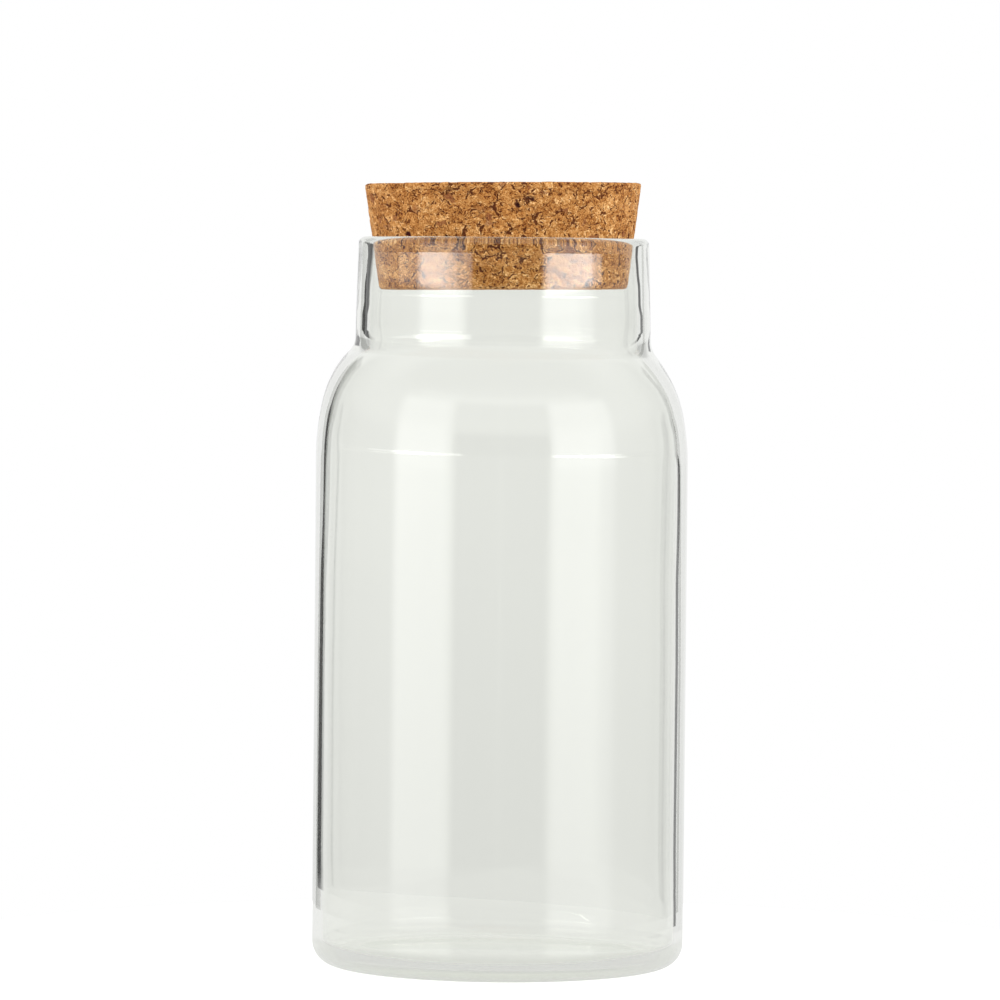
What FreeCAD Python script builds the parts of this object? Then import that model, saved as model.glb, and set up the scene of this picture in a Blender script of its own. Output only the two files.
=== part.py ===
import FreeCAD, Part
import enum
import math
import os

import Sketcher

# A storage jar of clear glass, drawn in one piece from a tube, with a tapered cork stopper.
# The jar stands on z = 0 and its axis is Z. Lengths are in millimetres, angles in degrees.

doc = FreeCAD.newDocument("jar_with_cork")

# Driving dimensions
dimensions = {
    "body_diameter": 95.0,  # outside of the straight body
    "body_wall": 2.5,  # glass of the body and the shoulder
    "body_height": 129.1,  # from the table to where the shoulder starts to turn in
    "heel_radius": 6.0,  # outside, where the body turns under
    "floor_thickness": 2.7,  # glass at the middle of the floor
    "floor_fillet": 4.0,  # inside, where the floor turns up into the wall
    "push_up_depth": 0.8,  # shallow hollow under the floor, so that the jar stands on a ring
    "resting_ring_width": 6.5,  # flat ring between the heel and the hollow
    "shoulder_height": 31.3,  # from the end of the straight body to the foot of the neck
    "turn_inset_share": 0.145,  # where the gentle lower curve meets the tight upper one,
    "turn_height_share": 0.432,  # as shares of the shoulder's step and of its height
    "neck_diameter": 75.4,  # outside of the neck, at its foot
    "neck_height": 25.6,  # from the foot of the neck to the rim
    "neck_draft": 1.3,  # how far the neck leans in, on each side
    "neck_wall": 3.3,  # glass at the foot of the neck
    "neck_root_radius": 6.0,  # outside, between shoulder and neck
    "throat_radius": 9.0,  # inside, between shoulder and bore
    "lip_bead": 0.95,  # how far the melted rim stands into the bore
    "lip_round": 1.9,  # inner half of the melted rim
    "lip_blend": 150.0,  # long curve by which the bore narrows towards the rim
    "cork_taper": 7.8,  # lean of the stopper's side
    "cork_proud": 13.8,  # stopper above the rim
    "cork_depth": 13.0,  # stopper below the rim
    "cork_top_edge": 0.45,  # rounded edge of the top
    "cork_bottom_edge": 0.8,  # rounded edge of the underside
    "seat_clearance": 0.25,  # between the stopper's side and the rim that it wedges in
}

sizes = doc.addObject("Spreadsheet::Sheet", "sizes")
for row, (alias, number) in enumerate(dimensions.items(), start=1):
    sizes.set(f"A{row}", alias)
    sizes.set(f"B{row}", str(number))
    sizes.setAlias(f"B{row}", alias)
doc.recompute()

# Places that several edges share, as formulas of the driving dimensions
body_radius = "sizes.body_diameter / 2"
inside_radius = "(sizes.body_diameter / 2 - sizes.body_wall)"
neck_radius = "sizes.neck_diameter / 2"
bore_radius = "(sizes.neck_diameter / 2 - sizes.neck_wall)"
floor_height = "(sizes.push_up_depth + sizes.floor_thickness)"
turn_radius = f"({body_radius} - sizes.turn_inset_share * ({body_radius} - {neck_radius}))"
turn_height = "(sizes.body_height + sizes.turn_height_share * sizes.shoulder_height)"
neck_foot = "(sizes.body_height + sizes.shoulder_height)"
rim_height = f"({neck_foot} + sizes.neck_height)"
lip_centre_radius = f"({bore_radius} - sizes.lip_bead + sizes.lip_round)"
lip_centre_height = f"({rim_height} - sizes.lip_round)"


# A sketch's own axes, and the three points of an edge
class Axis(enum.IntEnum):
    ACROSS = -1
    UP = -2


class Spot(enum.IntEnum):
    START = 1
    END = 2
    CENTRE = 3


START, END, CENTRE = Spot


def value(expression):
    return float(sizes.evalExpression(expression))


class Section:
    """Half of a turned piece's section, drawn in the XZ plane and revolved about the Z axis."""

    def __init__(self, label):
        self.body = doc.addObject("PartDesign::Body", label)
        self.body.Label = label
        self.sketch = self.body.newObject("Sketcher::SketchObject", label + "_section")
        planes = [item for item in self.body.Origin.OriginFeatures if item.Role == "XZ_Plane"]
        self.sketch.AttachmentSupport = [(planes[0], "")]
        self.sketch.MapMode = "FlatFace"

    def line(self, start, end):
        edge = Part.LineSegment(FreeCAD.Vector(*start, 0), FreeCAD.Vector(*end, 0))
        return self.sketch.addGeometry(edge, False)

    def arc(self, centre, radius, from_angle, to_angle):
        circle = Part.Circle(FreeCAD.Vector(*centre, 0), FreeCAD.Vector(0, 0, 1), radius)
        edge = Part.ArcOfCircle(circle, math.radians(from_angle), math.radians(to_angle))
        return self.sketch.addGeometry(edge, False)

    def point(self, place):
        return self.sketch.addGeometry(Part.Point(FreeCAD.Vector(*place, 0)), True)

    def tie(self, kind, *where):
        return self.sketch.addConstraint(Sketcher.Constraint(kind, *where))

    def size(self, name, expression, kind, *where):
        number = value(expression)
        if kind == "Angle":
            number = math.radians(number)
        index = self.tie(kind, *where, number)
        self.sketch.renameConstraint(index, name)
        self.sketch.setExpression("Constraints." + name, expression)

    def smooth(self, edge, end, next_edge, next_end):
        self.tie("Tangent", edge, end, next_edge, next_end)

    def join(self, edge, end, next_edge, next_end):
        self.tie("Coincident", edge, end, next_edge, next_end)

    def on_axis(self, edge, end):
        self.tie("PointOnObject", edge, end, Axis.UP)

    def on_table(self, edge, end):
        self.tie("PointOnObject", edge, end, Axis.ACROSS)

    def across(self, name, edge, end, expression):
        self.size(name, expression, "DistanceX", Axis.ACROSS, START, edge, end)

    def up(self, name, edge, end, expression):
        self.size(name, expression, "DistanceY", Axis.ACROSS, START, edge, end)

    def radius(self, name, edge, expression):
        self.size(name, expression, "Radius", edge)

    def turn(self):
        doc.recompute()
        if not self.sketch.FullyConstrained:
            raise RuntimeError(f"{self.sketch.Label} has {self.sketch.DoF} sizes left open")
        turned = self.body.newObject("PartDesign::Revolution", self.body.Label + "_turned")
        turned.Profile = self.sketch
        turned.ReferenceAxis = (self.sketch, ["V_Axis"])
        turned.Angle = 360
        doc.recompute()
        return turned


def polar(centre, radius, angle):
    turned = math.radians(angle)
    return (centre[0] + radius * math.cos(turned), centre[1] + radius * math.sin(turned))


def glass_jar():
    # The whole wall is one section: up the outside, over the rim and down the inside.
    section = Section("glass_jar")

    # First places of the edges, which the ties and sizes further down then hold
    outer, inner = value(body_radius), value(inside_radius)
    neck, bore = value(neck_radius), value(bore_radius)
    heel, fillet = value("sizes.heel_radius"), value("sizes.floor_fillet")
    hollow, floor = value("sizes.push_up_depth"), value(floor_height)
    foot, top = value("sizes.body_height"), value(rim_height)
    ring_outer = outer - heel
    ring_inner = ring_outer - value("sizes.resting_ring_width")

    # The hollow under the floor is part of a sphere.
    hollow_radius = (ring_inner**2 + hollow**2) / (2 * hollow)
    hollow_middle = (0, hollow - hollow_radius)
    hollow_angle = math.degrees(math.acos(ring_inner / hollow_radius))

    # The shoulder is a gentle arc, a tighter arc tangent to it, and the hollow root of the neck.
    turn = (value(turn_radius), value(turn_height))
    inset, rise = outer - turn[0], turn[1] - foot
    gentle_radius = (inset**2 + rise**2) / (2 * inset)
    gentle_middle = (outer - gentle_radius, foot)
    turn_angle = math.degrees(math.asin(rise / gentle_radius))
    root_radius = value("sizes.neck_root_radius")
    root_middle = (neck + root_radius, value(neck_foot))
    reach = (root_middle[0] - turn[0], root_middle[1] - turn[1])
    lead = polar((0, 0), 1, turn_angle)
    along = reach[0] * lead[0] + reach[1] * lead[1]
    tight_radius = (root_radius**2 - reach[0] ** 2 - reach[1] ** 2) / (2 * (along - root_radius))
    tight_middle = polar(turn, -tight_radius, turn_angle)
    slope = (root_middle[0] - tight_middle[0], root_middle[1] - tight_middle[1])
    slope_angle = math.degrees(math.atan2(slope[1], slope[0]))

    # The rim is melted round, and its inner half stands into the bore.
    lip_round, lip_blend = value("sizes.lip_round"), value("sizes.lip_blend")
    lip_middle = (value(lip_centre_radius), value(lip_centre_height))
    rim_radius = neck - value("sizes.neck_height") * math.tan(math.radians(value("sizes.neck_draft")))
    lip_outer = rim_radius - lip_middle[0]
    lip_outer_middle = (lip_middle[0], top - lip_outer)
    bead_share = value("sizes.lip_bead") / (lip_round + lip_blend)
    bead_angle = math.degrees(math.acos(1 - bead_share))
    blend_drop = (lip_round + lip_blend) * math.sin(math.radians(bead_angle))
    blend_middle = (bore - lip_blend, lip_middle[1] - blend_drop)

    # The inside of the shoulder keeps the wall, and a wide round takes it into the bore.
    throat_radius = value("sizes.throat_radius")
    tight_inside = tight_radius - value("sizes.body_wall")
    throat_reach = (bore + throat_radius - tight_middle[0]) / (tight_inside + throat_radius)
    throat_angle = math.degrees(math.acos(throat_reach))
    throat_middle = polar(tight_middle, tight_inside + throat_radius, throat_angle)
    gentle_inside = gentle_radius - value("sizes.body_wall")

    hollow_arc = section.arc(hollow_middle, hollow_radius, hollow_angle, 90)
    ring = section.line((ring_inner, 0), (ring_outer, 0))
    heel_arc = section.arc((ring_outer, heel), heel, 270, 360)
    wall = section.line((outer, heel), (outer, foot))
    gentle = section.arc(gentle_middle, gentle_radius, 0, turn_angle)
    tight = section.arc(tight_middle, tight_radius, turn_angle, slope_angle)
    root = section.arc(root_middle, root_radius, 180, 180 + slope_angle)
    neck_wall = section.line((neck, root_middle[1]), (rim_radius, lip_outer_middle[1]))
    lip_outside = section.arc(lip_outer_middle, lip_outer, 0, 90)
    lip_inside = section.arc(lip_middle, lip_round, 90, 180 + bead_angle)
    blend = section.arc(blend_middle, lip_blend, 0, bead_angle)
    bore_wall = section.line((bore, blend_middle[1]), (bore, throat_middle[1]))
    throat = section.arc(throat_middle, throat_radius, 180, 180 + throat_angle)
    inner_tight = section.arc(tight_middle, tight_inside, turn_angle, throat_angle)
    inner_gentle = section.arc(gentle_middle, gentle_inside, 0, turn_angle)
    inner_wall = section.line((inner, foot), (inner, floor + fillet))
    floor_arc = section.arc((inner - fillet, floor + fillet), fillet, 270, 360)
    floor_line = section.line((inner - fillet, floor), (0, floor))
    axis = section.line((0, floor), (0, hollow))

    # Base and heel
    section.on_axis(axis, START)
    section.on_axis(axis, END)
    section.join(hollow_arc, END, axis, END)
    section.on_axis(hollow_arc, CENTRE)
    section.join(hollow_arc, START, ring, START)
    section.on_table(ring, START)
    section.on_table(ring, END)
    section.smooth(ring, END, heel_arc, START)
    section.smooth(heel_arc, END, wall, START)
    section.up("push_up", axis, END, "sizes.push_up_depth")
    section.size("ring_width", "sizes.resting_ring_width", "DistanceX", ring, START, ring, END)
    section.radius("heel", heel_arc, "sizes.heel_radius")

    # Body and shoulder
    section.tie("Vertical", wall)
    section.across("body", wall, END, body_radius)
    section.up("body_top", wall, END, "sizes.body_height")
    section.smooth(wall, END, gentle, START)
    section.smooth(gentle, END, tight, START)
    section.across("turn_across", gentle, END, turn_radius)
    section.up("turn_up", gentle, END, turn_height)
    section.smooth(tight, END, root, END)
    section.radius("root", root, "sizes.neck_root_radius")

    # Neck and rim
    section.smooth(root, START, neck_wall, START)
    section.across("neck", neck_wall, START, neck_radius)
    section.up("neck_foot", neck_wall, START, neck_foot)
    section.size("neck_lean", "90 + sizes.neck_draft", "Angle", neck_wall)
    section.smooth(neck_wall, END, lip_outside, START)
    section.smooth(lip_outside, END, lip_inside, START)
    section.tie("Vertical", lip_outside, CENTRE, lip_outside, END)
    section.up("rim", lip_outside, END, rim_height)
    section.radius("lip_round", lip_inside, "sizes.lip_round")
    section.across("lip_centre", lip_inside, CENTRE, lip_centre_radius)
    section.smooth(lip_inside, END, blend, END)
    section.radius("lip_blend", blend, "sizes.lip_blend")

    # Bore, and the inside of the shoulder and body
    section.smooth(blend, START, bore_wall, START)
    section.tie("Vertical", bore_wall)
    section.across("bore", bore_wall, END, bore_radius)
    section.smooth(bore_wall, END, throat, START)
    section.radius("throat", throat, "sizes.throat_radius")
    section.smooth(throat, END, inner_tight, END)
    section.join(inner_tight, CENTRE, tight, CENTRE)
    section.smooth(inner_tight, START, inner_gentle, END)
    section.join(inner_gentle, CENTRE, gentle, CENTRE)
    section.smooth(inner_gentle, START, inner_wall, START)
    section.tie("Vertical", inner_wall)
    section.across("inside", inner_wall, END, inside_radius)
    section.smooth(inner_wall, END, floor_arc, END)
    section.radius("floor_fillet", floor_arc, "sizes.floor_fillet")
    section.smooth(floor_arc, START, floor_line, START)
    section.tie("Horizontal", floor_line)
    section.up("floor", floor_line, END, floor_height)
    section.join(floor_line, END, axis, START)

    section.turn()
    return section.body


def cork_stopper():
    # A cone that wedges in the rim: its side passes the rim's round at the seat clearance.
    section = Section("cork_stopper")
    taper = math.radians(value("sizes.cork_taper"))
    rim = value(rim_height)
    bottom, top = rim - value("sizes.cork_depth"), rim + value("sizes.cork_proud")
    lip_middle = (value(lip_centre_radius), value(lip_centre_height))
    lip_gap = "sizes.lip_round + sizes.seat_clearance"
    seat_radius = lip_middle[0] - value(lip_gap) / math.cos(taper)
    bottom_radius = seat_radius + (bottom - lip_middle[1]) * math.tan(taper)
    top_radius = seat_radius + (top - lip_middle[1]) * math.tan(taper)

    underside = section.line((0, bottom), (bottom_radius, bottom))
    side = section.line((bottom_radius, bottom), (top_radius, top))
    face = section.line((top_radius, top), (0, top))
    axis = section.line((0, top), (0, bottom))
    lip = section.point(lip_middle)

    section.join(underside, END, side, START)
    section.join(side, END, face, START)
    section.join(face, END, axis, START)
    section.join(axis, END, underside, START)
    section.tie("Horizontal", underside)
    section.tie("Horizontal", face)
    section.on_axis(axis, START)
    section.on_axis(axis, END)
    section.up("bottom", axis, END, f"{rim_height} - sizes.cork_depth")
    section.up("top", axis, START, f"{rim_height} + sizes.cork_proud")
    section.across("lip_across", lip, START, lip_centre_radius)
    section.up("lip_up", lip, START, lip_centre_height)
    section.size("taper", "90 - sizes.cork_taper", "Angle", side)
    section.size("lip_gap", lip_gap, "Distance", lip, START, side)

    turned = section.turn()
    top = round_edge(section.body, turned, "top_edge", "sizes.cork_top_edge", top)
    round_edge(section.body, top, "bottom_edge", "sizes.cork_bottom_edge", bottom)
    return section.body


def round_edge(body, base, name, expression, height):
    # Rounds the one circle that lies flat at this height.
    near = 1e-6
    edges = []
    for number, edge in enumerate(base.Shape.Edges, start=1):
        box = edge.BoundBox
        flat = abs(box.ZMin - height) < near and abs(box.ZMax - height) < near
        if flat and edge.Closed:
            edges.append(f"Edge{number}")
    fillet = body.newObject("PartDesign::Fillet", name)
    fillet.Base = (base, edges)
    fillet.setExpression("Radius", expression)
    doc.recompute()
    return fillet


def check(bodies):
    # A recompute can leave an object failed without raising.
    for item in doc.Objects:
        if "Invalid" in item.State or "Error" in item.State:
            raise RuntimeError(f"{item.Label} did not build: {item.State}")
    for body in bodies:
        if body.Shape.isNull() or not body.Shape.isValid() or len(body.Shape.Solids) != 1:
            raise RuntimeError(f"{body.Label} is not one valid solid")


def write(bodies):
    os.makedirs("parts", exist_ok=True)
    for body in bodies:
        body.Shape.exportStep(os.path.join("parts", body.Label + ".step"))
        box = body.Shape.BoundBox
        print(f"{body.Label}: {body.Shape.Volume / 1000:.1f} cm3, z {box.ZMin:.2f} to {box.ZMax:.2f}")


pieces = [glass_jar(), cork_stopper()]
doc.recompute()
check(pieces)
write(pieces)
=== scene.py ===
import math

import bpy
from mathutils import Matrix, Vector


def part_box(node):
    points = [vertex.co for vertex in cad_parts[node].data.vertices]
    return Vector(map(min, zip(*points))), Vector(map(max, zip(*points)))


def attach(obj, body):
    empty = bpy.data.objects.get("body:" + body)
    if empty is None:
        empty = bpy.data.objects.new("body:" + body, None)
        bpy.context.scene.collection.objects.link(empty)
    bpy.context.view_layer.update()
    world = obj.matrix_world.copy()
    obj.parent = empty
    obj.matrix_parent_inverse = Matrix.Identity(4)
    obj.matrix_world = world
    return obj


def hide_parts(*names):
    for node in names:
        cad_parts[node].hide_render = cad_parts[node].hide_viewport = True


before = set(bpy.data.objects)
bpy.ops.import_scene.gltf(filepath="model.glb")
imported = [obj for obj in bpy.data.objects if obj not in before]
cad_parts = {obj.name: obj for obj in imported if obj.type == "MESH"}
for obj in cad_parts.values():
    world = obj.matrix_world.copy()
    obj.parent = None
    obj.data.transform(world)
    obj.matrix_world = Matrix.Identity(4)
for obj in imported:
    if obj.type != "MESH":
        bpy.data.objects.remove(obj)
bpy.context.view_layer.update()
print("frame loaded:", sorted(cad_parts))


# Helpers for node trees

def addNode(tree, kind, **settings):
    node = tree.nodes.new(kind)
    for name, value in settings.items():
        setattr(node, name, value)
    return node


def feed(tree, target, source):
    # a socket is linked, anything else is typed in
    if isinstance(source, bpy.types.NodeSocket):
        tree.links.new(source, target)
    else:
        target.default_value = source


def maths(tree, operation, first, second=None, third=None):
    node = addNode(tree, "ShaderNodeMath", operation=operation)
    for socket, source in zip(node.inputs, (first, second, third)):
        if source is not None:
            feed(tree, socket, source)
    return node.outputs[0]


def times(tree, first, second):
    return maths(tree, "MULTIPLY", first, second)


def ramp(tree, value, fromLow, fromHigh, toLow=0.0, toHigh=1.0, smooth=True):
    node = addNode(tree, "ShaderNodeMapRange")
    node.interpolation_type = "SMOOTHSTEP" if smooth else "LINEAR"
    for name, source in (("Value", value), ("From Min", fromLow), ("From Max", fromHigh),
                         ("To Min", toLow), ("To Max", toHigh)):
        feed(tree, node.inputs[name], source)
    return node.outputs[0]


def mixNumber(tree, factor, first, second):
    node = addNode(tree, "ShaderNodeMix", data_type="FLOAT")
    feed(tree, node.inputs[0], factor)
    feed(tree, node.inputs[2], first)
    feed(tree, node.inputs[3], second)
    return node.outputs[0]


def mixColour(tree, factor, first, second):
    node = addNode(tree, "ShaderNodeMix", data_type="RGBA")
    feed(tree, node.inputs[0], factor)
    feed(tree, node.inputs[6], first)
    feed(tree, node.inputs[7], second)
    return node.outputs[2]


def mixShaders(tree, factor, first, second):
    node = addNode(tree, "ShaderNodeMixShader")
    feed(tree, node.inputs[0], factor)
    feed(tree, node.inputs[1], first.outputs[0])
    feed(tree, node.inputs[2], second.outputs[0])
    feed(tree, tree.nodes["Material Output"].inputs["Surface"], node.outputs[0])


def vectorMath(tree, operation, first, second):
    node = addNode(tree, "ShaderNodeVectorMath", operation=operation)
    feed(tree, node.inputs[0], first)
    feed(tree, node.inputs["Scale"] if operation == "SCALE" else node.inputs[1], second)
    return node.outputs["Value" if operation == "DOT_PRODUCT" else "Vector"]


def separate(tree, vector):
    node = addNode(tree, "ShaderNodeSeparateXYZ")
    feed(tree, node.inputs[0], vector)
    return node.outputs


def noise(tree, place, scale, detail=2.0, rough=0.5):
    node = addNode(tree, "ShaderNodeTexNoise")
    feed(tree, node.inputs["Vector"], place)
    node.inputs["Scale"].default_value = scale
    node.inputs["Detail"].default_value = detail
    node.inputs["Roughness"].default_value = rough
    return node.outputs


def cells(tree, place, scale, feature="F1"):
    node = addNode(tree, "ShaderNodeTexVoronoi", feature=feature)
    feed(tree, node.inputs["Vector"], place)
    node.inputs["Scale"].default_value = scale
    return node.outputs


def newMaterial(name):
    material = bpy.data.materials.new(name)
    material.use_nodes = True
    return material, material.node_tree


# Geometry Nodes: a turned piece from its half section
pathRadius = 0.001       # the section is carried round a circle this small
weldDistance = 1e-6
samePoint = 1e-7


def newTree(name, inputs):
    tree = bpy.data.node_groups.new(name, "GeometryNodeTree")
    face = tree.interface
    face.new_socket("Geometry", in_out="INPUT", socket_type="NodeSocketGeometry")
    face.new_socket("Geometry", in_out="OUTPUT", socket_type="NodeSocketGeometry")
    for label, kind in inputs:
        face.new_socket(label, in_out="INPUT", socket_type="NodeSocket" + kind)
    return tree, addNode(tree, "NodeGroupInput"), addNode(tree, "NodeGroupOutput")


def finishTree(tree, mesh, start, end):
    smooth = addNode(tree, "GeometryNodeSetShadeSmooth")
    real = addNode(tree, "GeometryNodeRealizeInstances")
    coat = addNode(tree, "GeometryNodeSetMaterial")
    feed(tree, smooth.inputs["Geometry"], mesh)
    feed(tree, real.inputs["Geometry"], smooth.outputs["Geometry"])
    feed(tree, coat.inputs["Geometry"], real.outputs["Geometry"])
    feed(tree, coat.inputs["Material"], start.outputs["Material"])
    feed(tree, end.inputs["Geometry"], coat.outputs["Geometry"])


def movePoints(tree, mesh, offset):
    node = addNode(tree, "GeometryNodeSetPosition")
    feed(tree, node.inputs["Geometry"], mesh)
    feed(tree, node.inputs["Offset"], offset)
    return node.outputs["Geometry"]


def turningTree(name, numbers, shapePiece):
    inputs = [("Steps Round", "Int"), ("Material", "Material")] + [(label, "Float") for label in numbers]
    tree, start, end = newTree(name, inputs)
    section = addNode(tree, "GeometryNodeMeshToCurve")
    circle = addNode(tree, "GeometryNodeCurvePrimitiveCircle")
    sweep = addNode(tree, "GeometryNodeCurveToMesh")
    weld = addNode(tree, "GeometryNodeMergeByDistance")
    outward = addNode(tree, "GeometryNodeFlipFaces")
    feed(tree, section.inputs["Mesh"], start.outputs["Geometry"])
    feed(tree, circle.inputs["Resolution"], start.outputs["Steps Round"])
    feed(tree, circle.inputs["Radius"], pathRadius)
    feed(tree, sweep.inputs["Curve"], circle.outputs["Curve"])
    feed(tree, sweep.inputs["Profile Curve"], section.outputs["Curve"])
    feed(tree, weld.inputs["Geometry"], sweep.outputs["Mesh"])
    feed(tree, weld.inputs["Distance"], weldDistance)
    feed(tree, outward.inputs["Mesh"], weld.outputs["Geometry"])
    finishTree(tree, shapePiece(tree, start, outward.outputs["Mesh"]), start, end)
    return tree


def sectionObject(name, points, insideFrom=None):
    # the half section as a chain of edges; the sweep reads (x, -y) as (radius, height)
    mesh = bpy.data.meshes.new(name)
    verts = [(r - pathRadius, -z, 0.0) for r, z in points]
    edges = [(i, i + 1) for i in range(len(points) - 1)]
    mesh.from_pydata(verts, edges, [])
    if insideFrom is not None:
        inside = mesh.attributes.new("inside", "FLOAT", "POINT")
        for i in range(len(points)):
            inside.data[i].value = 1.0 if i >= insideFrom else 0.0
    obj = bpy.data.objects.new(name, mesh)
    bpy.context.scene.collection.objects.link(obj)
    return obj


def applyTree(obj, tree, values):
    modifier = obj.modifiers.new(tree.name, "NODES")
    modifier.node_group = tree
    for item in tree.interface.items_tree:
        if item.in_out == "INPUT" and item.name in values:
            modifier[item.identifier] = values[item.name]
    depsgraph = bpy.context.evaluated_depsgraph_get()
    mesh = bpy.data.meshes.new_from_object(obj.evaluated_get(depsgraph))
    obj.modifiers.clear()
    obj.data = mesh


# Runs of a half section, as (radius, height); the last number of a run is its count of steps

def arc(middle, radius, start, end, steps):
    angles = [math.radians(start + (end - start) * i / steps) for i in range(steps + 1)]
    return [(middle[0] + radius * math.cos(a), middle[1] + radius * math.sin(a)) for a in angles]


def line(start, end, steps):
    return [(start[0] + (end[0] - start[0]) * i / steps, start[1] + (end[1] - start[1]) * i / steps)
            for i in range(steps + 1)]


def chain(*runs):
    points = []
    for run in runs:
        points += [p for p in run if not points or math.dist(p, points[-1]) > samePoint]
    return points


# Glass jar
jarValues = {
    "bodyWall": 0.0025, "bodyHeight": 0.1291, "heelRadius": 0.006,
    "floorThickness": 0.0027, "floorFillet": 0.004, "pushUpDepth": 0.0008, "ringWidth": 0.0065,
    "shoulderHeight": 0.0313, "turnInsetShare": 0.145, "turnHeightShare": 0.432,
    "neckRadius": 0.0377, "neckDraft": 1.3, "neckWall": 0.0033, "rootRadius": 0.006,
    "throatRadius": 0.009, "lipBead": 0.00095, "lipRound": 0.0019, "lipBlend": 0.15,
    "stepsRound": 288, "rimPoints": 4,         # so many points of the section past the top are still rim
    "shoulderTilt": 0.0011,                    # the hand-made shoulder sits higher on the left by this much
    "tiltStart": (0.112, 0.142), "tiltEnd": (0.150, 0.164),   # heights where that comes and goes
    "wallShift": 0.0003,                       # the inside stands off the axis, so the left wall is thinner
    "shiftStart": (0.006, 0.03), "shiftEnd": (0.10, 0.14),
    "waviness": 0.00004,                       # slow waves in the drawn tube, longer upwards
    "waveStart": (0.006, 0.02), "waveScale": 45.0, "waveStretch": 0.25,
    "colour": (0.975, 0.983, 0.957, 1), "ior": 1.5,
    "depthColour": (0.46, 0.62, 0.06, 1), "depthDensity": 3.0,
    "clearColour": (0.97, 0.975, 0.965, 1),    # for light that goes straight through
    "turnsInside": 3,                          # light leaves the wall after being mirrored so often
}
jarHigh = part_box("glass_jar")[1]
bodyRadius, jarTop = round(jarHigh.x, 5), jarHigh.z


def jarSection(size):
    outer, top = bodyRadius, jarTop
    inner = outer - size["bodyWall"]
    foot = size["bodyHeight"]
    neck, neckFoot = size["neckRadius"], foot + size["shoulderHeight"]
    bore = neck - size["neckWall"]
    heel, fillet = size["heelRadius"], size["floorFillet"]
    hollow, floor = size["pushUpDepth"], size["pushUpDepth"] + size["floorThickness"]
    ringOuter = outer - heel
    ringInner = ringOuter - size["ringWidth"]
    hollowRadius = (ringInner ** 2 + hollow ** 2) / (2 * hollow)
    hollowEdge = math.degrees(math.acos(ringInner / hollowRadius))
    # shoulder
    inset = size["turnInsetShare"] * (outer - neck)
    rise = size["turnHeightShare"] * size["shoulderHeight"]
    turn = Vector((outer - inset, foot + rise))
    gentle = (inset ** 2 + rise ** 2) / (2 * inset)
    turnAngle = math.degrees(math.asin(rise / gentle))
    root = size["rootRadius"]
    rootMiddle = Vector((neck + root, neckFoot))
    reach = rootMiddle - turn
    lead = Vector((math.cos(math.radians(turnAngle)), math.sin(math.radians(turnAngle))))
    tight = (root ** 2 - reach.length_squared) / (2 * (reach.dot(lead) - root))
    tightMiddle = turn - tight * lead
    slope = rootMiddle - tightMiddle
    slopeAngle = math.degrees(math.atan2(slope.y, slope.x))
    # rim
    lipRound, lipBlend = size["lipRound"], size["lipBlend"]
    lipMiddle = (bore - size["lipBead"] + lipRound, top - lipRound)
    rim = neck - (top - neckFoot) * math.tan(math.radians(size["neckDraft"]))
    lipOuter = rim - lipMiddle[0]
    beadAngle = math.degrees(math.acos(1 - size["lipBead"] / (lipRound + lipBlend)))
    blendMiddle = (bore - lipBlend,
                   lipMiddle[1] - (lipRound + lipBlend) * math.sin(math.radians(beadAngle)))
    # inside of the shoulder
    throat = size["throatRadius"]
    tightInside = tight - size["bodyWall"]
    throatAngle = math.degrees(math.acos((bore + throat - tightMiddle.x) / (tightInside + throat)))
    throatMiddle = tightMiddle + (tightInside + throat) * Vector(
        (math.cos(math.radians(throatAngle)), math.sin(math.radians(throatAngle))))
    gentleMiddle = (outer - gentle, foot)
    return chain(
        arc((0, hollow - hollowRadius), hollowRadius, 90, hollowEdge, 14),
        line((ringInner, 0), (ringOuter, 0), 3),
        arc((ringOuter, heel), heel, 270, 360, 16),
        line((outer, heel), (outer, foot), 40),
        arc(gentleMiddle, gentle, 0, turnAngle, 8),
        arc(tightMiddle, tight, turnAngle, slopeAngle, 16),
        arc(rootMiddle, root, 180 + slopeAngle, 180, 10),
        line((neck, neckFoot), (rim, top - lipOuter), 10),
        arc((lipMiddle[0], top - lipOuter), lipOuter, 0, 90, 9),
        arc(lipMiddle, lipRound, 90, 180 + beadAngle, 12),
        arc(blendMiddle, lipBlend, beadAngle, 0, 6),
        line((bore, blendMiddle[1]), (bore, throatMiddle.y), 8),
        arc(throatMiddle, throat, 180, 180 + throatAngle, 8),
        arc(tightMiddle, tightInside, throatAngle, turnAngle, 16),
        arc(gentleMiddle, gentle - size["bodyWall"], turnAngle, 0, 8),
        line((inner, foot), (inner, floor + fillet), 40),
        arc((inner - fillet, floor + fillet), fillet, 360, 270, 12),
        line((inner - fillet, floor), (0, floor), 14),
    )


def glassMaterial(look):
    material, tree = newMaterial("clearGlass")
    shader = tree.nodes["Principled BSDF"]
    shader.inputs["Base Color"].default_value = look["colour"]
    shader.inputs["Roughness"].default_value = 0.0
    shader.inputs["IOR"].default_value = look["ior"]
    shader.inputs["Transmission Weight"].default_value = 1.0
    tint = addNode(tree, "ShaderNodeVolumeAbsorption")
    tint.inputs["Color"].default_value = look["depthColour"]
    tint.inputs["Density"].default_value = look["depthDensity"]
    feed(tree, tree.nodes["Material Output"].inputs["Volume"], tint.outputs["Volume"])
    # light goes straight through to the stopper and the floor, and does not stay trapped in the wall
    clear = addNode(tree, "ShaderNodeBsdfTransparent")
    clear.inputs["Color"].default_value = look["clearColour"]
    rays = addNode(tree, "ShaderNodeLightPath").outputs
    trapped = maths(tree, "GREATER_THAN", rays["Glossy Depth"], look["turnsInside"] - 0.5)
    straight = maths(tree, "MAXIMUM", rays["Is Shadow Ray"], rays["Is Diffuse Ray"])
    mixShaders(tree, maths(tree, "MAXIMUM", straight, trapped), shader, clear)
    return material


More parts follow.
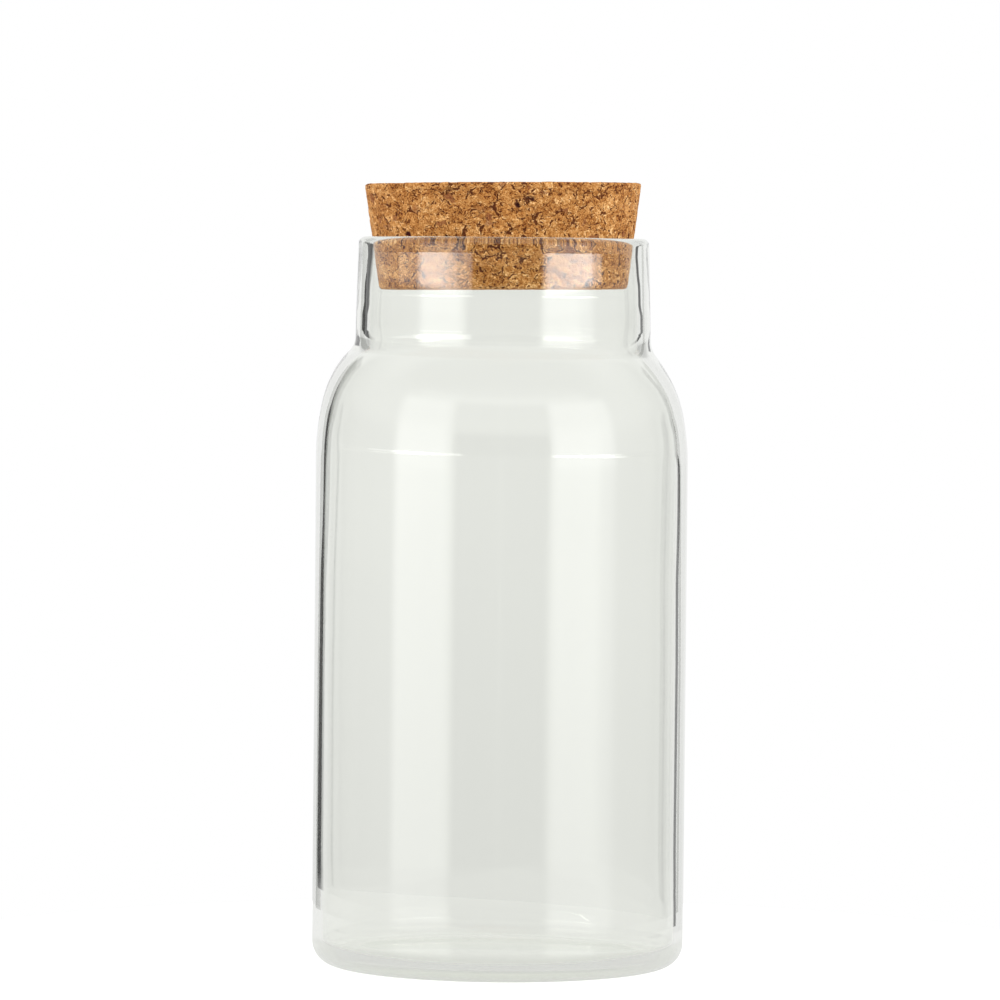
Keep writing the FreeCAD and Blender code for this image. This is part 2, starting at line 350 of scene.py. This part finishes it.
def unevenGlass(tree, start, mesh):
    place = addNode(tree, "GeometryNodeInputPosition").outputs[0]
    x, y, z = separate(tree, place)
    inside = addNode(tree, "GeometryNodeInputNamedAttribute", data_type="FLOAT")
    inside.inputs["Name"].default_value = "inside"

    def between(first, last):
        return times(tree, ramp(tree, z, *jarValues[first]), ramp(tree, z, *jarValues[last], 1.0, 0.0))

    tilt = times(tree, maths(tree, "DIVIDE", x, -bodyRadius), start.outputs["Shoulder Tilt"])
    within = times(tree, inside.outputs["Attribute"], between("shiftStart", "shiftEnd"))
    move = addNode(tree, "ShaderNodeCombineXYZ")
    feed(tree, move.inputs["X"], times(tree, times(tree, within, start.outputs["Wall Shift"]), -1.0))
    feed(tree, move.inputs["Z"], times(tree, tilt, between("tiltStart", "tiltEnd")))
    uneven = movePoints(tree, mesh, move.outputs[0])
    stretched = vectorMath(tree, "MULTIPLY", place, (1.0, 1.0, jarValues["waveStretch"]))
    waves = maths(tree, "SUBTRACT", noise(tree, stretched, jarValues["waveScale"], 1.0)["Fac"], 0.5)
    waves = times(tree, waves, ramp(tree, z, *jarValues["waveStart"]))
    normal = addNode(tree, "GeometryNodeInputNormal").outputs[0]
    push = vectorMath(tree, "SCALE", normal, times(tree, waves, start.outputs["Waviness"]))
    return movePoints(tree, uneven, push)


jarPoints = jarSection(jarValues)
topPoint = max(range(len(jarPoints)), key=lambda i: jarPoints[i][1])
jar = sectionObject("jar_glass", jarPoints, topPoint + jarValues["rimPoints"])
jarTree = turningTree("turnedJar", ("Shoulder Tilt", "Wall Shift", "Waviness"), unevenGlass)
applyTree(jar, jarTree, {
    "Steps Round": jarValues["stepsRound"], "Material": glassMaterial(jarValues),
    "Shoulder Tilt": jarValues["shoulderTilt"], "Wall Shift": jarValues["wallShift"],
    "Waviness": jarValues["waviness"],
})
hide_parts("glass_jar")
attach(jar, "jar")
print("jar:", len(jar.data.polygons), "faces")

# Cork stopper; the sizes of its granules, gaps and holes are in mm
corkValues = {
    "taper": 7.8, "topEdge": 0.00045, "bottomEdge": 0.0008, "seatClearance": 0.00025,
    "stepsRound": 256,
    "cell": 0.00042,                          # width of the mesh cells that carry the relief
    "tilt": -0.7, "tiltHeight": 0.168,        # pushed in askew: it leans about a point below it
    "flake": 4.8, "bit": 2.0, "crumb": 0.8,   # pressed granules of three sizes
    "speck": 1.5, "pit": 3.4,                 # spacing of the small and the large holes
    "flatness": 1.5,                          # they lie flatter than they are wide
    "warp": 3.2, "warpScale": 0.45,           # irregular outline of the granules
    "grainTurn": 6.28, "grainStretch": (0.5, 1.6, 1.6),
    # scale of the stretches that gape, the noise where they start and are open, and the width of the gap
    "flakeGap": (0.45, 0.48, 0.66, 0.34), "bitGap": (0.8, 0.50, 0.68, 0.26),
    # edge of the dark gap, then the band beside it that gets a painted highlight
    "gapEdge": (-0.08, 0.05), "gapHighlightStart": (0.0, 0.10), "gapHighlightEnd": (0.16, 0.40),
    # share of places without a hole, and the size of a hole beside its spacing
    "speckHole": (0.70, 0.34), "pitHole": (0.86, 0.34), "holeEdge": 0.04, "holeFlat": 0.5,
    "crackDepth": 0.00030, "pitDepth": 0.0006, "flakeStep": 0.00022, "bitStep": 0.00012,   # in metres
    "slantLevel": 0.12,
    # how far each pattern moves the tone
    "flakeTone": 0.30, "bitTone": 0.34, "crumbTone": 0.30, "streakTone": 0.50, "fineTone": 0.40,
    # the tone added beside a gap is a painted highlight
    "gapHighlightTone": 0.4, "streakScale": 1.5, "fineScale": 2.4, "toneRange": (0.36, 0.64),
    # share of the dark crack colour in gaps and small holes, partly the cork's own dark gaps and partly
    # painted shade
    "barkFrom": (0.96, 0.97), "barkShare": 0.55, "crackShadeShare": 0.9,
    "roughness": 0.85, "specular": 0.3, "grainStrength": 0.6, "grainDepth": 0.0004,
    "tones": ((0.0, "crack"), (0.13, "shade"), (0.3, "brown"), (0.5, "body"), (0.7, "tan"),
              (0.87, "light"), (1.0, "pale")),
    "colours": {
        # crack is the darkest tone, and in gaps and small holes it is also painted shade in the recesses
        "crack": (84, 32, 6), "shade": (143, 83, 29), "brown": (171, 110, 50), "body": (190, 129, 66),
        "tan": (207, 148, 84), "light": (222, 164, 100), "pale": (248, 198, 136),
        "pit": (66, 20, 18), "bark": (122, 66, 44),
    },
}


def colour(name):
    # written as seen on screen, used as light
    levels = [v / 255 for v in corkValues["colours"][name]]
    return tuple(v / 12.92 if v <= 0.04045 else ((v + 0.055) / 1.055) ** 2.4 for v in levels) + (1.0,)


def corkSection(size):
    low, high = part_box("cork_stopper")
    lipRound = jarValues["lipRound"]
    bore = jarValues["neckRadius"] - jarValues["neckWall"]
    lip = (bore - jarValues["lipBead"] + lipRound, jarTop - lipRound)
    lean = math.radians(size["taper"])
    gap = lipRound + size["seatClearance"]

    def side(z):
        return lip[0] - (gap + (lip[1] - z) * math.sin(lean)) / math.cos(lean)

    topEdge, bottomEdge = size["topEdge"], size["bottomEdge"]
    upper = (side(high.z - topEdge) - topEdge / math.cos(lean), high.z - topEdge)
    lower = (side(low.z + bottomEdge) - bottomEdge / math.cos(lean), low.z + bottomEdge)
    return chain(
        line((0, low.z), (lower[0], low.z), 20),
        arc(lower, bottomEdge, -90, -size["taper"], 6),
        arc(upper, topEdge, -size["taper"], 90, 8),
        line((upper[0], high.z), (0, high.z), 20),
    )


def askew(tree, start, mesh):
    turn = addNode(tree, "ShaderNodeVectorRotate", rotation_type="Y_AXIS")
    feed(tree, turn.inputs["Vector"], addNode(tree, "GeometryNodeInputPosition").outputs[0])
    turn.inputs["Center"].default_value = (0, 0, corkValues["tiltHeight"])
    feed(tree, turn.inputs["Angle"], start.outputs["Tilt"])
    lean = addNode(tree, "GeometryNodeSetPosition")
    feed(tree, lean.inputs["Geometry"], mesh)
    feed(tree, lean.inputs["Position"], turn.outputs[0])
    return lean.outputs["Geometry"]


def granules(tree, metres):
    # one pattern for relief and colour: pressed flakes, small bits, open cracks and pits
    middle = (0.5, 0.5, 0.5)
    place = vectorMath(tree, "SCALE", metres, 1000.0)
    bend = vectorMath(tree, "SUBTRACT", noise(tree, place, corkValues["warpScale"], 3.0)["Color"], middle)
    bent = vectorMath(tree, "ADD", place, vectorMath(tree, "SCALE", bend, corkValues["warp"]))
    flat = vectorMath(tree, "MULTIPLY", bent, (1.0, 1.0, corkValues["flatness"]))
    found = {"place": place, "flat": flat}
    for name in ("flake", "bit"):
        scale = 1 / corkValues[name]
        cell = cells(tree, flat, scale)
        tone, kind, spare = separate(tree, cell["Color"])
        # every granule lies at its own slant, so its edges step up or down
        away = vectorMath(tree, "SCALE", vectorMath(tree, "SUBTRACT", flat, cell["Position"]), scale)
        lean = vectorMath(tree, "SUBTRACT", cell["Color"], middle)
        found[name] = {"tone": tone, "kind": kind, "turn": cell["Color"],
                       "slant": vectorMath(tree, "DOT_PRODUCT", away, lean),
                       "edge": cells(tree, flat, scale, "DISTANCE_TO_EDGE")["Distance"]}
    # each flake has its own grain direction
    turned = addNode(tree, "ShaderNodeVectorRotate", rotation_type="EULER_XYZ")
    feed(tree, turned.inputs["Vector"], flat)
    feed(tree, turned.inputs["Rotation"],
         vectorMath(tree, "SCALE", found["flake"]["turn"], corkValues["grainTurn"]))
    found["grain"] = vectorMath(tree, "MULTIPLY", turned.outputs[0], corkValues["grainStretch"])
    # the edges of a granule gape on some stretches; the band beside the crack, the lip, is only lighter
    # colour, a painted highlight with no raise in the shape
    crack, lip = 0.0, 0.0
    for name in ("flake", "bit"):
        spread, first, last, wide = corkValues[name + "Gap"]
        gape = ramp(tree, noise(tree, place, spread)["Fac"], first, last)
        edge = times(tree, found[name]["edge"], corkValues[name])
        away = maths(tree, "SUBTRACT", edge, times(tree, gape, wide))
        dark = ramp(tree, away, *corkValues["gapEdge"], 1.0, 0.0)
        beside = times(tree, ramp(tree, away, *corkValues["gapHighlightStart"]),
                       ramp(tree, away, *corkValues["gapHighlightEnd"], 1.0, 0.0))
        crack = maths(tree, "MAXIMUM", dark, crack)
        lip = maths(tree, "MAXIMUM", times(tree, beside, gape), lip)
    found["crack"], found["lip"] = crack, lip
    for name, within in (("speck", found["grain"]), ("pit", bent)):
        first, wide = corkValues[name + "Hole"]
        hole = cells(tree, within, 1 / corkValues[name])
        there = ramp(tree, separate(tree, hole["Color"])[0], first, first + corkValues["holeEdge"])
        deep = ramp(tree, hole["Distance"], wide * corkValues["holeFlat"], wide, 1.0, 0.0)
        found[name] = times(tree, there, deep)
    found["gaps"] = maths(tree, "MAXIMUM", crack, found["speck"])
    return found


def reliefTree():
    depths = ("Crack Depth", "Pit Depth", "Flake Step", "Bit Step")
    inputs = [(label, "Float") for label in depths] + [("Material", "Material")]
    tree, start, end = newTree("corkRelief", inputs)
    crackDepth, pitDepth, flakeStep, bitStep = (start.outputs[label] for label in depths)
    pattern = granules(tree, addNode(tree, "GeometryNodeInputPosition").outputs[0])
    height = times(tree, pattern["gaps"], times(tree, crackDepth, -1.0))
    height = maths(tree, "MULTIPLY_ADD", pattern["pit"], times(tree, pitDepth, -1.0), height)
    for name, step in (("flake", flakeStep), ("bit", bitStep)):
        level = maths(tree, "SUBTRACT", pattern[name]["slant"], corkValues["slantLevel"])
        height = maths(tree, "MULTIPLY_ADD", level, step, height)
    normal = addNode(tree, "GeometryNodeInputNormal").outputs[0]
    moved = movePoints(tree, start.outputs["Geometry"], vectorMath(tree, "SCALE", normal, height))
    finishTree(tree, moved, start, end)
    return tree


def corkMaterial(look):
    material, tree = newMaterial("pressedCork")
    shader = tree.nodes["Principled BSDF"]
    pattern = granules(tree, addNode(tree, "ShaderNodeTexCoord").outputs["Object"])
    streak = noise(tree, pattern["grain"], look["streakScale"], 3.0, 0.6)["Fac"]
    streak = ramp(tree, streak, *look["toneRange"], smooth=False)
    fine = noise(tree, pattern["place"], look["fineScale"], 2.0, 0.6)["Fac"]
    fine = ramp(tree, fine, *look["toneRange"], smooth=False)
    crumb = separate(tree, cells(tree, pattern["flat"], 1 / look["crumb"])["Color"])[0]
    tone = 0.5
    for source, name in ((pattern["flake"]["tone"], "flakeTone"), (pattern["bit"]["tone"], "bitTone"),
                         (crumb, "crumbTone"), (streak, "streakTone"), (fine, "fineTone")):
        tone = maths(tree, "MULTIPLY_ADD", maths(tree, "SUBTRACT", source, 0.5), look[name], tone)
    # painted highlight: the band beside each gap is lightened
    tone = maths(tree, "MULTIPLY_ADD", pattern["lip"], look["gapHighlightTone"], tone)
    scale = addNode(tree, "ShaderNodeValToRGB")
    feed(tree, scale.inputs[0], tone)
    stops = scale.color_ramp.elements
    (first, firstName), *between, (last, lastName) = look["tones"]
    stops[0].position, stops[0].color = first, colour(firstName)
    stops[1].position, stops[1].color = last, colour(lastName)
    for at, name in between:
        stops.new(at).color = colour(name)
    bark = times(tree, ramp(tree, pattern["bit"]["kind"], *look["barkFrom"]), look["barkShare"])
    base = mixColour(tree, bark, scale.outputs[0], colour("bark"))
    # gaps and small holes take the dark crack colour: partly the cork's own dark gaps, partly painted shade
    # in the recesses
    base = mixColour(tree, times(tree, pattern["gaps"], look["crackShadeShare"]), base, colour("crack"))
    base = mixColour(tree, pattern["pit"], base, colour("pit"))
    feed(tree, shader.inputs["Base Color"], base)
    shader.inputs["Roughness"].default_value = look["roughness"]
    shader.inputs["Specular IOR Level"].default_value = look["specular"]
    grain = addNode(tree, "ShaderNodeBump")
    grain.inputs["Strength"].default_value = look["grainStrength"]
    grain.inputs["Distance"].default_value = look["grainDepth"]
    feed(tree, grain.inputs["Height"], maths(tree, "ADD", fine, streak))
    feed(tree, shader.inputs["Normal"], grain.outputs[0])
    return material


cork = sectionObject("cork_body", corkSection(corkValues))
corkTree = turningTree("turnedCork", ("Tilt",), askew)
applyTree(cork, corkTree, {"Steps Round": corkValues["stepsRound"], "Tilt": math.radians(corkValues["tilt"])})
remesh = cork.modifiers.new("evenCells", "REMESH")
remesh.mode = "VOXEL"
remesh.voxel_size = corkValues["cell"]
applyTree(cork, reliefTree(), {
    "Crack Depth": corkValues["crackDepth"], "Pit Depth": corkValues["pitDepth"],
    "Flake Step": corkValues["flakeStep"], "Bit Step": corkValues["bitStep"],
    "Material": corkMaterial(corkValues),
})
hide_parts("cork_stopper")
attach(cork, "cork")
print("cork:", len(cork.data.polygons), "faces")

# Studio; its panels are given by degrees round from the front and degrees up
studio = {
    "floorRadius": 0.165, "floorHeight": -0.00002, "floorColour": 0.9, "floorSteps": 96,
    "floorGlow": 0.03,        # added for the camera alone, so that the floor is white and keeps its shadow
    # its own light as seen in glass, from front to back, and the share of lamp light that stays
    "floorThrough": (0.63, 0.80), "floorFade": (-0.035, 0.03), "floorKeep": 0.12,
    "plain": 1.0,             # level of the soft light on dull surfaces
    "key": (15.0, 17.0), "keyPlace": (1.4, -0.55, 1.0), "keySize": 0.3, "keyAim": 0.19,
    "surroundLow": 0.828, "surround": 0.915, "surroundUp": (-6.0, -1.0),
    "overhead": (0.3, 0.8), "overheadFade": (-0.2, 0.2), "overheadUp": (25.0, 50.0),   # from front to back
    "side": 0.55, "sideAcross": (60, 135), "sideUp": (-12, 60), "sideSoft": 4,
    "front": 0.26, "frontAcross": (-1, 31), "frontUp": (-12, 30), "frontSoft": 3,
    "frontHigh": 0.05, "frontHighAcross": (-1, 31), "frontHighUp": (2.58, 12), "frontHighSoft": 0.1,
    # dark strips behind the jar, which draw its edges
    "flag": 0.005, "flagLeft": (24, 36), "flagRight": (28.5, 33.5), "flagUp": (-8.0, 25), "flagSoft": 0.8,
    "flagNeck": (-3.6, -0.8, 0.0, 6.0), "flagHigh": (3.0, 6.0, 0.0, 2.0),   # how they move out with height
    # soft panels on both sides
    "softLeft": (-70.5, -35), "softRight": (33.5, 75.5), "softUp": (-45, 30), "softSoft": 4,
    "softPower": (1.05, 1.3, 1.75, 1.4),       # low, beside the body, round the neck, above
    "softBody": (-7.0, -2.5), "softNeck": (-1.9, -0.7), "softAbove": (10.0, 18.0),   # heights of the changes
    # their brightest part, level with the stopper, and its fainter ends
    "core": (2.58, 3.18), "coreSoft": 0.06, "coreLeft": (-52.0, -35.0, 10.7, 5.35),
    "coreRight": (40.0, 62.0, 9.775, 11.5),
    "fadeLeft": (-35, -25, 3.5), "fadeRight": (76, 83, 4.5), "fadeSoft": 2.0,
    "wingLeft": (-91, -70, 2.5), "wingFar": (-122, -91, 1.0), "wingRight": (86, 112, 0.1),
}


def studioWorld():
    world = bpy.data.worlds.new("studio")
    bpy.context.scene.world = world
    world.use_nodes = True
    tree = world.node_tree
    x, y, z = separate(tree, addNode(tree, "ShaderNodeTexCoord").outputs["Generated"])
    front = maths(tree, "DEGREES", maths(tree, "ARCTAN2", x, times(tree, y, -1.0)))
    aside = maths(tree, "ABSOLUTE", front)
    height = maths(tree, "DEGREES", maths(tree, "ARCSINE", z))
    # what the leaning wall of the neck mirrors along one level runs lower to the sides
    lowering = maths(tree, "COSINE", maths(tree, "RADIANS", times(tree, front, 0.5)))
    neckHeight = maths(tree, "DIVIDE", height, lowering)

    def band(value, low, high, soft):
        return times(tree, ramp(tree, value, low - soft, low + soft),
                     ramp(tree, value, high - soft, high + soft, 1.0, 0.0))

    def panel(level, name, up):
        soft = studio[name + "Soft"]
        mask = times(tree, band(aside, *studio[name + "Across"], soft), band(up, *studio[name + "Up"], soft))
        return mixNumber(tree, mask, level, studio[name])

    surround = ramp(tree, height, *studio["surroundUp"], studio["surroundLow"], studio["surround"])
    overhead = ramp(tree, y, *studio["overheadFade"], *studio["overhead"])
    high = ramp(tree, height, *studio["overheadUp"])
    through = mixNumber(tree, high, surround, overhead)
    level = mixNumber(tree, high, panel(surround, "side", height), overhead)
    level = panel(level, "front", height)
    level = panel(level, "frontHigh", neckHeight)
    # the dark edges beside the neck stand further out than those beside the body
    behind = maths(tree, "SUBTRACT", 180.0, aside)
    outward = maths(tree, "SUBTRACT", behind, ramp(tree, height, *studio["flagNeck"], smooth=False))
    outward = maths(tree, "SUBTRACT", outward, ramp(tree, height, *studio["flagHigh"]))
    flagUp = band(height, *studio["flagUp"], 1.0)
    for side, sign in (("flagLeft", -1.0), ("flagRight", 1.0)):
        onSide = ramp(tree, times(tree, x, sign), -0.01, 0.01)
        strip = times(tree, onSide, band(outward, *studio[side], studio["flagSoft"]))
        level = mixNumber(tree, times(tree, strip, flagUp), level, studio["flag"])
    # the soft panels
    core = band(neckHeight, *studio["core"], studio["coreSoft"])
    corePower = mixNumber(tree, maths(tree, "GREATER_THAN", front, 0.0),
                          ramp(tree, front, *studio["coreLeft"]), ramp(tree, front, *studio["coreRight"]))
    low, body, neck, above = studio["softPower"]
    power = mixNumber(tree, ramp(tree, height, *studio["softBody"]), low, body)
    power = mixNumber(tree, ramp(tree, height, *studio["softNeck"]), power, neck)
    power = mixNumber(tree, core, power, corePower)
    power = mixNumber(tree, ramp(tree, height, *studio["softAbove"]), power, above)
    for side in ("wingFar", "wingLeft", "wingRight", "fadeLeft", "fadeRight"):
        first, last, amount = studio[side]
        mask = times(tree, band(front, first, last, studio["fadeSoft"]), core)
        level = mixNumber(tree, mask, level, amount)
    softUp = band(height, *studio["softUp"], studio["softSoft"])
    for side in ("softLeft", "softRight"):
        mask = times(tree, band(front, *studio[side], studio["softSoft"]), softUp)
        level = mixNumber(tree, mask, level, power)
    # panels and strips are in what the glass mirrors, white shows through it, and the rest is lit evenly
    rays = addNode(tree, "ShaderNodeLightPath").outputs
    level = mixNumber(tree, maths(tree, "GREATER_THAN", rays["Glossy Depth"], 0.5), through, level)
    viaGlass = maths(tree, "MAXIMUM", rays["Is Glossy Ray"], rays["Is Transmission Ray"])
    level = mixNumber(tree, viaGlass, studio["plain"], level)
    background = tree.nodes["Background"]
    background.inputs["Color"].default_value = (1, 1, 1, 1)
    feed(tree, background.inputs["Strength"], mixNumber(tree, rays["Is Camera Ray"], level, 1.0))


def keyLamps():
    # two soft lamps, one on each side, that bring out the grain of the cork
    across, back, up = studio["keyPlace"]
    for name, sign, watts in (("lampLeft", -1, studio["key"][0]), ("lampRight", 1, studio["key"][1])):
        light = bpy.data.lights.new(name, "AREA")
        light.size = studio["keySize"]
        light.energy = watts
        lamp = bpy.data.objects.new(name, light)
        bpy.context.scene.collection.objects.link(lamp)
        lamp.location = (sign * across, back, up)
        aim = Vector((0, 0, studio["keyAim"])) - lamp.location
        lamp.rotation_euler = aim.to_track_quat("-Z", "Y").to_euler()
        lamp.visible_glossy = False
        lamp.visible_transmission = False


def floorMaterial():
    material, tree = newMaterial("paleFloor")
    tree.nodes.remove(tree.nodes["Principled BSDF"])
    diffuse = addNode(tree, "ShaderNodeBsdfDiffuse")
    diffuse.inputs["Color"].default_value = (studio["floorColour"],) * 3 + (1,)
    rays = addNode(tree, "ShaderNodeLightPath").outputs
    glow = addNode(tree, "ShaderNodeEmission")
    feed(tree, glow.inputs["Strength"], times(tree, rays["Is Camera Ray"], studio["floorGlow"]))
    seen = addNode(tree, "ShaderNodeAddShader")
    feed(tree, seen.inputs[0], diffuse.outputs[0])
    feed(tree, seen.inputs[1], glow.outputs[0])
    through = addNode(tree, "ShaderNodeEmission")
    x, y, z = separate(tree, addNode(tree, "ShaderNodeTexCoord").outputs["Object"])
    feed(tree, through.inputs["Strength"], ramp(tree, y, *studio["floorFade"], *studio["floorThrough"]))
    viaGlass = maths(tree, "MAXIMUM", rays["Is Transmission Ray"], rays["Is Glossy Ray"])
    mixShaders(tree, times(tree, viaGlass, 1.0 - studio["floorKeep"]), seen, through)
    return material


def floorDisc():
    steps, radius = studio["floorSteps"], studio["floorRadius"]
    mesh = bpy.data.meshes.new("floor")
    angles = [2 * math.pi * i / steps for i in range(steps)]
    rim = [(radius * math.cos(a), radius * math.sin(a), 0) for a in angles]
    mesh.from_pydata(rim, [], [list(range(steps))])
    mesh.materials.append(floorMaterial())
    floor = bpy.data.objects.new("floor", mesh)
    bpy.context.scene.collection.objects.link(floor)
    floor.location.z = studio["floorHeight"]


studioWorld()
keyLamps()
floorDisc()
print("studio: world, lamps and floor set")

# Camera at the photo's angle
photo = {
    "distance": 1.6, "height": 0.178, "aimHeight": 0.119, "aimAcross": -0.0004,
    "roll": 0.55, "lens": 225.5,
}
camera = bpy.data.objects.new("camera", bpy.data.cameras.new("camera"))
bpy.context.scene.collection.objects.link(camera)
camera.data.lens = photo["lens"]
camera.location = (0, -photo["distance"], photo["height"])
look = Vector((photo["aimAcross"], 0, photo["aimHeight"])) - camera.location
turned = look.to_track_quat("-Z", "Y").to_matrix() @ Matrix.Rotation(math.radians(photo["roll"]), 3, "Z")
camera.rotation_euler = turned.to_euler()
bpy.context.scene.camera = camera
bpy.context.scene.view_settings.view_transform = "Standard"
print("camera set")
